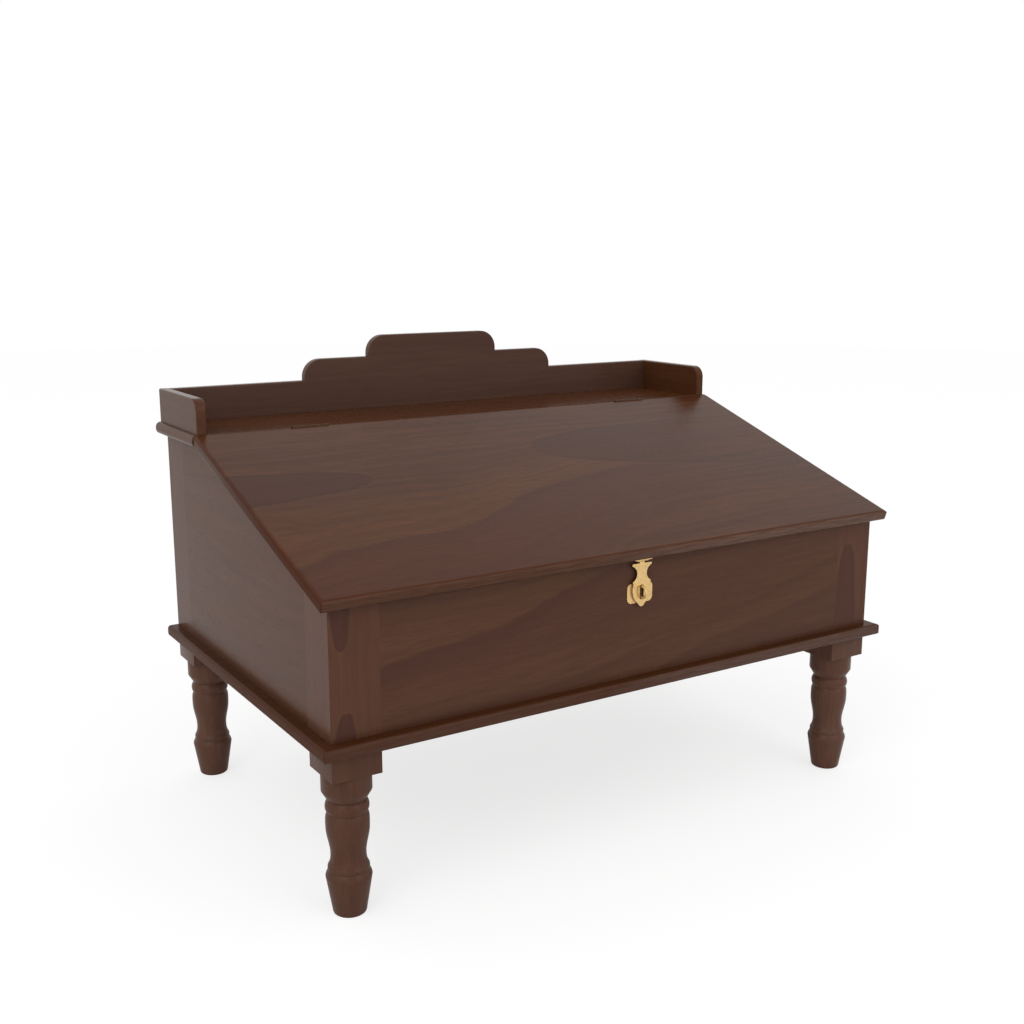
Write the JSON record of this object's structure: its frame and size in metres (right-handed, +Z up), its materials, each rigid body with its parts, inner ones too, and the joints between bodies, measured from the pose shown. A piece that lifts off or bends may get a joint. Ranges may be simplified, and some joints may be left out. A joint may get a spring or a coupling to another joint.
{
  "type": "lap desk",
  "caption": "Slant-top wooden lap desk on turned legs, with a hinged sloping lid over a case, a level shelf with a stepped gallery, and a brass hasp and staple.",
  "frame": {"origin": "on the floor, under the middle of the desk's overall width and depth", "axes": "+X to the desk's right seen from the front, +Y to the back, +Z up"},
  "size_m": [0.6096, 0.3828, 0.4383],
  "materials": {
    "base_wood": "satin dark walnut, grain along the board",
    "leg_wood": "satin dark walnut, turned, grain upright",
    "post_wood": "satin dark walnut, grain upright",
    "panel_wood": "satin dark walnut, grain level",
    "lid_wood": "waxed dark walnut with broad darker figure, grain along the board",
    "shelf_wood": "satin dark walnut, grain along the board",
    "gallery_wood": "satin dark walnut, grain along the board",
    "dowel_wood": "plain turned hardwood, unfinished",
    "hinge_metal": "dark aged brass",
    "pin_metal": "drawn steel wire",
    "screw_metal": "dark aged brass",
    "brass": "soft polished brass"
  },
  "bodies": {
    "carcass": {"base_board": "base_wood", "leg_front_left": "leg_wood", "leg_front_right": "leg_wood", "leg_back_left": "leg_wood", "leg_back_right": "leg_wood", "post_front_left": "post_wood", "post_front_right": "post_wood", "post_back_left": "post_wood", "post_back_right": "post_wood", "front_panel": "panel_wood", "back_panel": "panel_wood", "side_panel_left": "panel_wood", "side_panel_right": "panel_wood", "shelf_board": "shelf_wood", "gallery_back": "gallery_wood", "gallery_wing_left": "gallery_wood", "gallery_wing_right": "gallery_wood", "shelf_dowels": "dowel_wood", "gallery_dowels": "dowel_wood", "hinge_left_shelf_leaf": "hinge_metal", "hinge_right_shelf_leaf": "hinge_metal", "hinge_left_pin": "pin_metal", "hinge_right_pin": "pin_metal", "shelf_hinge_screws": "screw_metal", "staple_plate": "brass", "staple": "brass"},
    "lid": {"lid_board": "lid_wood", "hinge_left_lid_leaf": "hinge_metal", "hinge_right_lid_leaf": "hinge_metal", "lid_hinge_screws": "screw_metal", "hasp_leaf": "brass", "hasp_leaf_screws": "brass", "hasp_pin": "brass"},
    "hasp": {"hasp_strap": "brass"}
  },
  "joints": [
    {"name": "lid_hinge", "type": "hinge", "parent": "carcass", "child": "lid", "pos_m": [0, 0.08213, 0.3621], "axis": [-1, 0, 0], "range_deg": [0, 108]},
    {"name": "hasp_hinge", "type": "hinge", "parent": "lid", "child": "hasp", "pos_m": [0.0029, -0.18237, 0.26213], "axis": [-1, 0, 0], "range_deg": [0, 80]}
  ]
}
